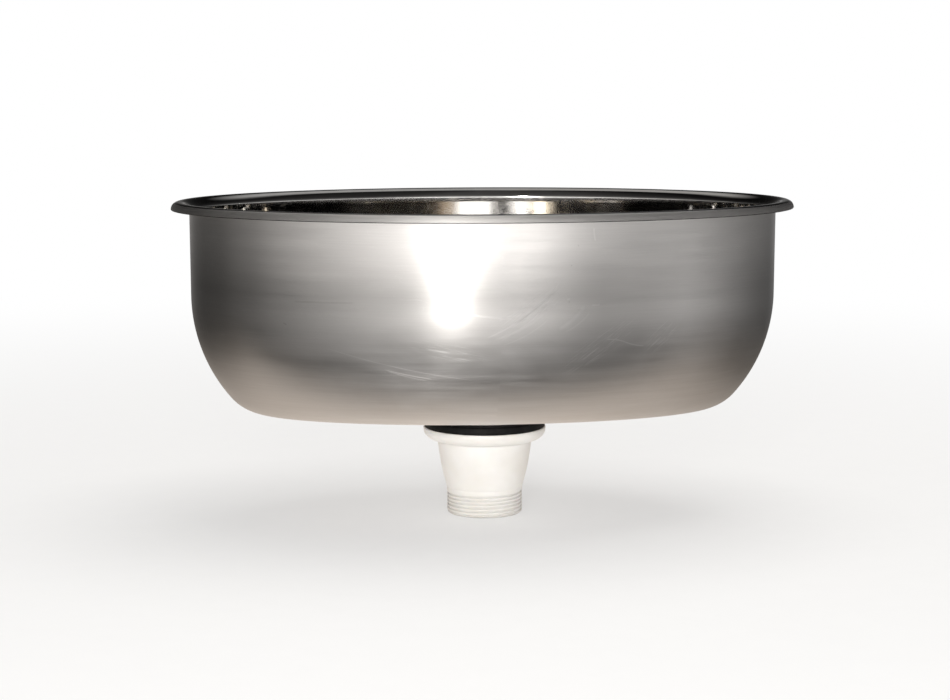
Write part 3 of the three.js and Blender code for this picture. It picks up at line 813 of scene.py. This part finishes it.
def threaded_rows(radius, depth, pitch, top, rows_a_turn, columns):
    """Columns of (r, z) points round a threaded cylinder from z = 0 to its top, as the helix runs.

    Each column holds the same number of points; the last is one turn on from the first.
    """
    made = []
    runout = top - 0.5 * pitch
    total = round(top / pitch * rows_a_turn) + rows_a_turn
    for column in range(columns + 1):
        rise = pitch * column / columns
        points = []
        for row in range(total + 1):
            z = min(max(-pitch + pitch * row / rows_a_turn + rise, 0.0), top)
            along = (z - rise) / pitch
            groove = math.floor(along + 0.5)
            cut = smooth_share(clamped((GROOVE_REACH - abs(along - groove)) / GROOVE_FLANK))
            fade = clamped((runout - groove * pitch - rise) / (pitch / 9))
            chamfer = radius - depth * CHAMFER_CUT + z * CHAMFER_SLOPE
            points.append((min(radius - depth * cut * fade, chamfer), z))
        made.append(points)
    return made


def threaded_body(name, radius, depth, pitch, top, outline, columns, rows_a_turn=16, lift=0.0):
    """A round solid whose outside starts with a real screw thread at z = 0, in millimetres.

    The outline goes on from the thread's top, up the outside and down to the axis or the bore.
    """
    start = (radius - depth * CHAMFER_CUT, 0.0)
    bm = bmesh.new()
    grid = []
    for column, thread in enumerate(threaded_rows(radius, depth, pitch, top, rows_a_turn, columns)):
        angle = 2 * math.pi * column / columns
        x, y = math.cos(angle) * MM, math.sin(angle) * MM
        grid.append([bm.verts.new((r * x, r * y, (z + lift) * MM))
                     for r, z in thread + outline + [start]])
    for left, right in zip(grid, grid[1:]):
        for i in range(len(left) - 1):
            bm.faces.new((left[i], right[i], right[i + 1], left[i + 1]))
    bmesh.ops.remove_doubles(bm, verts=bm.verts, dist=SAME_CUT_POINT)
    bmesh.ops.dissolve_degenerate(bm, edges=bm.edges, dist=SAME_POINT)
    bmesh.ops.recalc_face_normals(bm, faces=bm.faces)
    return bpy.data.objects.new(name, mesh_from(name, bm))


def waste():
    """The white outlet: threaded spigot, bowed cone, rolled flange, and a ribbed hub inside."""
    roll, depth, edge, mouth, bore = 8.6, 6.5, 1.8, 31.5, 20.0
    radius, thread_depth, pitch, turns = 23.9, 0.9, 2.309, 7
    flange = body_high.x / MM
    roll_z = FLANGE_TOP - edge
    thread_top = turns * pitch
    cone = [(radius, thread_top + 0.7), (24.25, thread_top + 1.05), (24.58, 18.4), (24.9, 20),
            (25.6, 22.3), (26.2, 24.6), (26.82, 27.2), (27.4, 30), (27.94, 32.9), (28.4, 35.8),
            (28.84, 38.4), (29.2, 41), (29.55, 43.6), (29.8, 46), (29.9, 46.9), (30.3, 47.15)]
    under = [(r, roll_z + z * depth / roll)
             for r, z in arc((flange - roll, 0), roll, 0.12 - QUARTER, 0, 26)]
    outline = cone + under
    outline += [(flange, FLANGE_TOP - 0.5), (flange - 0.15, FLANGE_TOP - 0.15),
                (flange - 0.5, FLANGE_TOP), (mouth + 0.4, FLANGE_TOP), (mouth, FLANGE_TOP - 0.4),
                (mouth, 49.9), (mouth - 0.3, 49.4), (27.2, 46), (25.0, 33), (bore, 18),
                (bore, 0.4), (bore + 0.4, 0.0)]
    made = threaded_body("waste_outlet", radius, thread_depth, pitch, thread_top, outline, 192)
    hub = turned("hub", rounded(in_mm(block(4.65, 7.2, 26, 42)), 0.3 * MM), SMALL_ROUND).data
    count = 4
    ribs = [box_mesh(f"rib_{i}", (18.8 * MM, 3 * MM, 12 * MM), (16.2 * MM, 0, 32 * MM),
                     2 * math.pi * (i + 0.5) / count) for i in range(count)]
    add_piece(combine(made, [hub] + ribs, "UNION"), "waste_body", [WHITE], 0.7)


def screw():
    """The slotted pan-head clamp screw; its outline is measured from its own tip."""
    radius, thread_depth, pitch, thread_top = 3.0, 0.55, 1.0, 13.0
    tip, head_height, head_radius, edge = 29.5, 2.6, 5.4, 1.0
    head = CUP_FLOOR + WASHER - tip
    top = head + head_height
    outline = [(radius, head), (head_radius, head), (head_radius, top - edge - 0.4)]
    outline += arc((head_radius - edge, top - edge - 0.2), edge, 0.0, QUARTER, 6)
    outline += [(radius, top), (0, top), (0, 0)]
    made = threaded_body("waste_screw", radius, thread_depth, pitch, thread_top, outline,
                         SMALL_ROUND, 12, tip)
    slot = box_mesh("slot", (12 * MM, 1.3 * MM, 2.6 * MM), (0, 0, (tip + top) * MM))
    add_piece(combine(made, [slot], "DIFFERENCE"), "clamp_screw", [TURNED], FINE_SHARP)


strainer()
waste()
screw()
turned_piece("hub_bush", "hub_insert", block(3.05, 4.6, 28, 42), BRASS, 0.25, SMALL_ROUND)
turned_piece("head_washer", "screw_washer", block(3.05, 5.4, CUP_FLOOR, CUP_FLOOR + WASHER),
             WHITE, 0.25, SMALL_ROUND)


# ---------------------------------------------------------------- lift-out plug

SEAL_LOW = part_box("plug_seal")[0].z / MM
SEAL_TOP = SEAL_LOW + 3.0
BASKET_LOW = SEAL_TOP + 3.0
BASKET_FLOOR = BASKET_LOW + 0.8
BASKET_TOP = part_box("basket")[1].z / MM
KNOB_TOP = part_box("plug_knob")[1].z / MM

turned_piece("stopper_seal", "plug_seal", [
    (8.6, SEAL_LOW), (22.6, SEAL_LOW), (23.4, SEAL_LOW + 0.8), (22.2, SEAL_TOP), (8.6, SEAL_TOP),
], RUBBER, 0.35)


def carrier():
    """The disc that holds the seal, with a split grip that snaps over the screw's head."""
    grip_low, grip_high, bore = SEAL_LOW + 1.2, CUP_FLOOR + 4.2, 2.45
    outline = [(5.8, grip_low), (7.6, grip_low), (7.6, SEAL_TOP), (19, SEAL_TOP),
               (19, SEAL_TOP + 2), (12, BASKET_LOW), (bore, BASKET_LOW), (bore, grip_high),
               (5.8, grip_high)]
    made = turned("stopper_carrier", rounded(in_mm(outline), 0.25 * MM))
    cuts = [box_mesh(f"split_{i}", (17.2 * MM, 1.6 * MM, 3.0 * MM), (0, 0, grip_low * MM),
                     math.pi * i / 2) for i in range(2)]
    add_piece(combine(made, cuts, "DIFFERENCE"), "plug_carrier", [GREY], FINE_SHARP)


def rounded_slot(name, width, height, middle, turn):
    """A cutter through the basket's wall: an upright slot with round ends, in millimetres."""
    bm = bmesh.new()
    steps = 10
    points = arc((0, (height - width) / 2), width / 2, 0, math.pi, steps)
    points += [(-y, -z) for y, z in points]
    rows = [[bm.verts.new((x * MM, y * MM, (middle + z) * MM)) for y, z in points]
            for x in (18.0, 27.0)]
    for side in (rows[0][::-1], rows[1]):
        bm.faces.new(side)
    for i in range(len(points)):
        j = (i + 1) % len(points)
        bm.faces.new((rows[0][i], rows[0][j], rows[1][j], rows[1][i]))
    bmesh.ops.recalc_face_normals(bm, faces=bm.faces)
    bmesh.ops.transform(bm, matrix=Matrix.Rotation(turn, 4, "Z"), verts=bm.verts)
    return mesh_from(name, bm)


def lift_out_basket():
    """The pressed basket with a rolled rim, a drilled floor and upright slots in its wall."""
    roll, sheet, corner, bore = 1.1, 0.8, 3.0, 2.45
    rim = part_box("basket")[1].x / MM
    roll_r, roll_z = rim - roll, BASKET_TOP - roll
    wall_r = rim - 2 * roll
    floor_r, floor_z = 20 - corner, BASKET_LOW + corner
    outline = [(bore, BASKET_LOW)]
    outline += arc((floor_r, floor_z), corner, -QUARTER, -0.2, 8)
    outline += [(wall_r, roll_z - 0.6)]
    outline += arc((roll_r, roll_z), roll, -QUARTER, 2.45, 18)
    outline += [(wall_r - sheet, roll_z - 0.4)]
    outline += arc((floor_r, floor_z), corner - sheet, -0.2, -QUARTER, 8)
    outline += [(bore, BASKET_FLOOR)]
    made = turned("stopper_basket", in_mm(outline))
    cutters = holes("basket_hole", [(8, 9), (12, 14.5)], 1.6, BASKET_LOW - 0.5, BASKET_FLOOR + 0.5)
    middle, count = (BASKET_FLOOR + roll_z) / 2 + 1, 16
    cutters += [rounded_slot(f"basket_slot_{i}", 2.0, 6.0, middle,
                             CUTTER_TURN + 2 * math.pi * (i + 0.5) / count) for i in range(count)]
    add_piece(combine(made, cutters, "DIFFERENCE"), "basket", [PRESSED], FINE_SHARP)


carrier()
lift_out_basket()
STEM_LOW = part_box("plug_stem")[0].z / MM
turned_piece("stopper_stem", "plug_stem", [
    (0, STEM_LOW), (2.4, STEM_LOW), (2.4, BASKET_FLOOR), (4.6, BASKET_FLOOR),
    (4.6, BASKET_FLOOR + 1.5), (2.4, BASKET_FLOOR + 2.5), (2.4, KNOB_TOP - 3), (0, KNOB_TOP - 3),
], TURNED, 0.25, SMALL_ROUND)
turned_piece("stopper_knob", "plug_knob", [
    (2.45, KNOB_TOP - 9), (4.6, KNOB_TOP - 9), (4.2, KNOB_TOP - 5.5), (7.7, KNOB_TOP - 3.5),
    (8.5, KNOB_TOP - 2.6), (7.5, KNOB_TOP - 1.2), (5.0, KNOB_TOP - 0.4), (0, KNOB_TOP),
    (0, KNOB_TOP - 2.95), (2.45, KNOB_TOP - 2.95),
], TURNED, 0.6, SMALL_ROUND)


# ---------------------------------------------------------------- floor, light and camera

YAW = math.radians(5.0)  # the camera stands this far round towards -X
CAMERA_PLACE = (0, -1.343, 0.2916)  # before that turn
CAMERA_DIP = math.radians(7.963)
LENS = 81.17
WHITE_LIGHT = (1, 1, 1, 1)

GROUND_REACH = 6.0
GROUND_GAP = 0.2 * MM
GROUND_FADE = (0.10, 1.3)  # distances from the drain's axis between which the floor turns white
TABLE_EDGE = -0.10  # the mirrored table top's near edge
TABLE_MIDDLE = -0.03
TABLE_ENDS = (0.40, 0.56)
TABLE_TONE = (0.95, 0.84, 0.74, 1)
# Brightness of the table top by distance from its middle in metres.
TABLE_GLOW = [(0.0, 1.05), (0.1, 0.97), (0.18, 0.74), (0.25, 0.48), (0.32, 0.16), (0.5, 0.06)]


def round_from_camera(g, vector):
    """X, Y and Z of a vector in axes whose -Y side faces the camera."""
    turned_back = g.add("ShaderNodeVectorRotate", {"Vector": vector, "Angle": YAW},
                        rotation_type="Z_AXIS").outputs[0]
    return g.xyz(turned_back)


def mirrored_table(g, place, clear):
    """The beige table top that only steel sees, clear past its edges."""
    parts = round_from_camera(g, place)
    front = g.remap(parts["Y"], TABLE_EDGE - 0.02, TABLE_EDGE + 0.03, 0.0, 1.0, smooth=True)
    across = g.math("ABSOLUTE", g.math("SUBTRACT", parts["X"], TABLE_MIDDLE))
    table = g.math("MULTIPLY", front, g.remap(across, *TABLE_ENDS, 1.0, 0.0, smooth=True))
    tone = g.glowing("ShaderNodeEmission", TABLE_TONE, g.curve(across, TABLE_GLOW))
    return g.mix(table, clear, tone)


def floor():
    """A pale floor that fades to white; steel mirrors a table top, and it's clear from beneath."""
    bm = bmesh.new()
    bmesh.ops.create_grid(bm, x_segments=1, y_segments=1, size=GROUND_REACH)
    ground = bpy.data.objects.new("floor", mesh_from("floor", bm))
    ground.location = (0, 0, body_low.z - GROUND_GAP)
    bpy.context.scene.collection.objects.link(ground)
    material, g = new_material("pale_floor")
    geometry = g.add("ShaderNodeNewGeometry").outputs
    place = geometry["Position"]
    parts = g.xyz(place)
    flat = g.add("ShaderNodeCombineXYZ", {0: parts["X"], 1: parts["Y"]}).outputs[0]
    tone = g.tint(g.noise(place, 55.0, 3.0), (0.86, 0.855, 0.85), (0.89, 0.885, 0.88))
    pale = g.add("ShaderNodeBsdfDiffuse", {"Color": tone}).outputs[0]
    white = g.glowing("ShaderNodeEmission", WHITE_LIGHT, 1.0)
    clear = g.add("ShaderNodeBsdfTransparent").outputs[0]
    seen = g.mix(g.remap(g.length(flat), *GROUND_FADE, 0.45, 1.0, smooth=True), pale, white)
    glossy = g.add("ShaderNodeLightPath").outputs["Is Glossy Ray"]
    both = g.mix(glossy, seen, mirrored_table(g, place, clear))
    out = g.add("ShaderNodeOutputMaterial")
    g.tree.links.new(g.mix(geometry["Backfacing"], both, clear), out.inputs["Surface"])
    ground.data.materials.append(material)


# Glow round the horizon as steel sees it, by azimuth in degrees: 0 is the camera's side, and
# the right is +.
AROUND_GLOW = [(-180, 0.14), (-160, 0.11), (-140, 0.07), (-120, 0.06), (-96, 0.09), (-71, 0.24),
               (-53, 0.58), (-39, 0.95), (-30, 1.25), (-21, 1.65), (-12, 1.9), (-3, 2.0), (6, 2.1),
               (11, 2.2), (16, 2.1), (21, 1.9), (26, 1.4), (32, 0.95), (44, 0.75), (69, 0.62),
               (88, 0.32), (108, 0.18), (125, 0.12), (140, 0.08), (160, 0.11), (180, 0.14)]
# How that glow changes with elevation in degrees.
UP_GLOW = [(-90, 0.08), (-60, 0.08), (-42, 0.13), (-26, 0.32), (-12, 0.85), (-7, 1.6), (-4, 2.9),
           (0, 3.1), (3, 1.2), (6, 0.4), (12, 0.16), (20, 0.08), (35, 0.04), (90, 0.03)]
# A soft glow high up behind the basin, and the angles over which it comes in.
BEHIND_GLOW = 0.5
BEHIND_AROUND, BEHIND_UP = (90, 130), (30, 55)


def surroundings():
    """White for the camera, a studio for steel's reflections, and soft light for the rest."""
    world = bpy.data.worlds.new("studio")
    bpy.context.scene.world = world
    world.use_nodes = True
    g = Graph(world.node_tree)
    parts = round_from_camera(g, g.add("ShaderNodeTexCoord").outputs["Generated"])
    towards = g.math("MULTIPLY", parts["Y"], -1.0)
    azimuth = g.math("DEGREES", g.math("ARCTAN2", parts["X"], towards))
    elevation = g.math("DEGREES", g.math("ARCSINE", parts["Z"]))
    glow = g.math("MULTIPLY", g.curve(azimuth, AROUND_GLOW), g.curve(elevation, UP_GLOW))
    behind = g.remap(g.math("ABSOLUTE", azimuth), *BEHIND_AROUND, 0.0, BEHIND_GLOW, smooth=True)
    high = g.remap(elevation, *BEHIND_UP, 0.0, 1.0, smooth=True)
    glow = g.math("MULTIPLY_ADD", behind, high, glow)
    warm = g.tint(g.remap(azimuth, -60, 90, 0.0, 1.0), (1.0, 0.975, 0.95), (1.0, 0.99, 0.985))
    steel_sees = g.glowing("ShaderNodeBackground", warm, glow)
    plain = g.glowing("ShaderNodeBackground", WHITE_LIGHT, 1.0)
    soft = g.glowing("ShaderNodeBackground", (1, 0.985, 0.965, 1), 0.38)
    path = g.add("ShaderNodeLightPath").outputs
    lit = g.mix(path["Is Glossy Ray"], soft, steel_sees)
    out = g.add("ShaderNodeOutputWorld")
    g.tree.links.new(g.mix(path["Is Camera Ray"], lit, plain), out.inputs["Surface"])


# Small lamps that the polished inside mirrors, in millimetres: place, what they face, width and
# height, brightness and colour.
GLINTS = [
    ((17, -111.5, 172), (17, 110, 190), (9, 16), 3.2, (1, 0.97, 0.93)),
    ((24.5, -111, 172), (24, 110, 190), (4, 16), 0.6, (1, 0.75, 0.5)),
    ((4, -111.5, 172), (4, 110, 190), (4, 16), 3.4, (1, 0.97, 0.95)),
    ((-2.5, -111.5, 172), (-2, 110, 190), (4, 16), 5.0, (1, 0.86, 0.66)),
    ((171, 33, 168), (-152, 64, 191), (3, 10), 4.0, (1, 0.95, 0.85)),
    ((170, -34, 165), (-138, 75, 188), (3, 8), 2.5, (1, 0.85, 0.65)),
    ((84, 98, 175), (-164, 51, 192), (3, 8), 3.0, (1, 0.93, 0.8)),
    ((-154, -56, 164), (144, 71, 187), (3, 8), 2.0, (1, 0.95, 0.9)),
    ((-178, 10, 167), (157, 58, 190), (3, 10), 4.0, (1, 0.95, 0.9)),
    ((-39, 109, 176), (172, 38, 191), (3, 8), 3.0, (1, 0.85, 0.65)),
]


def light(name, place, aim, size, power, mirrored=False, color=(1, 0.98, 0.95)):
    """A lamp that lights plastic, rubber and floor, or one that only the steel mirrors."""
    data = bpy.data.lights.new(name, "AREA")
    data.shape = "RECTANGLE"
    data.size, data.size_y = size
    data.energy = power
    data.color = color
    lamp = bpy.data.objects.new(name, data)
    lamp.location = place
    lamp.rotation_euler = (Vector(aim) - Vector(place)).to_track_quat("-Z", "Y").to_euler()
    lamp.visible_glossy = mirrored
    lamp.visible_diffuse = not mirrored
    lamp.visible_camera = False
    bpy.context.scene.collection.objects.link(lamp)


def lamps():
    """Soft light from the camera's side and from above, a flash for the steel, and the glints."""
    flash = Matrix.Rotation(-YAW - math.radians(3), 4, "Z") @ Vector((0, -1.35, 0.36))
    light("front_soft", flash, (0, 0, 0.05), (0.45, 0.45), 10)
    light("top_soft", (0.3, 0.2, 1.9), (0, 0, 0), (1.6, 1.6), 22)
    light("camera_side_glow", flash, (0, 0, 0.14), (0.06, 0.16), 6, mirrored=True)
    for i, (place, aim, size, brightness, color) in enumerate(GLINTS):
        width, height = size[0] * MM, size[1] * MM
        light(f"glint_{i}", Vector(place) * MM, Vector(aim) * MM, (width, height),
              brightness * math.pi * width * height, mirrored=True, color=color)


def camera():
    """The photo's view: a long lens, a little above the rim."""
    data = bpy.data.cameras.new("camera")
    data.sensor_width = 36.0
    data.lens = LENS
    data.shift_x = -0.01
    view = bpy.data.objects.new("camera", data)
    view.matrix_world = (Matrix.Rotation(-YAW, 4, "Z") @ Matrix.Translation(CAMERA_PLACE)
                         @ Matrix.Rotation(QUARTER - CAMERA_DIP, 4, "X"))
    bpy.context.scene.collection.objects.link(view)
    bpy.context.scene.camera = view


floor()
surroundings()
lamps()
camera()
bpy.context.scene.view_settings.view_transform = "Standard"
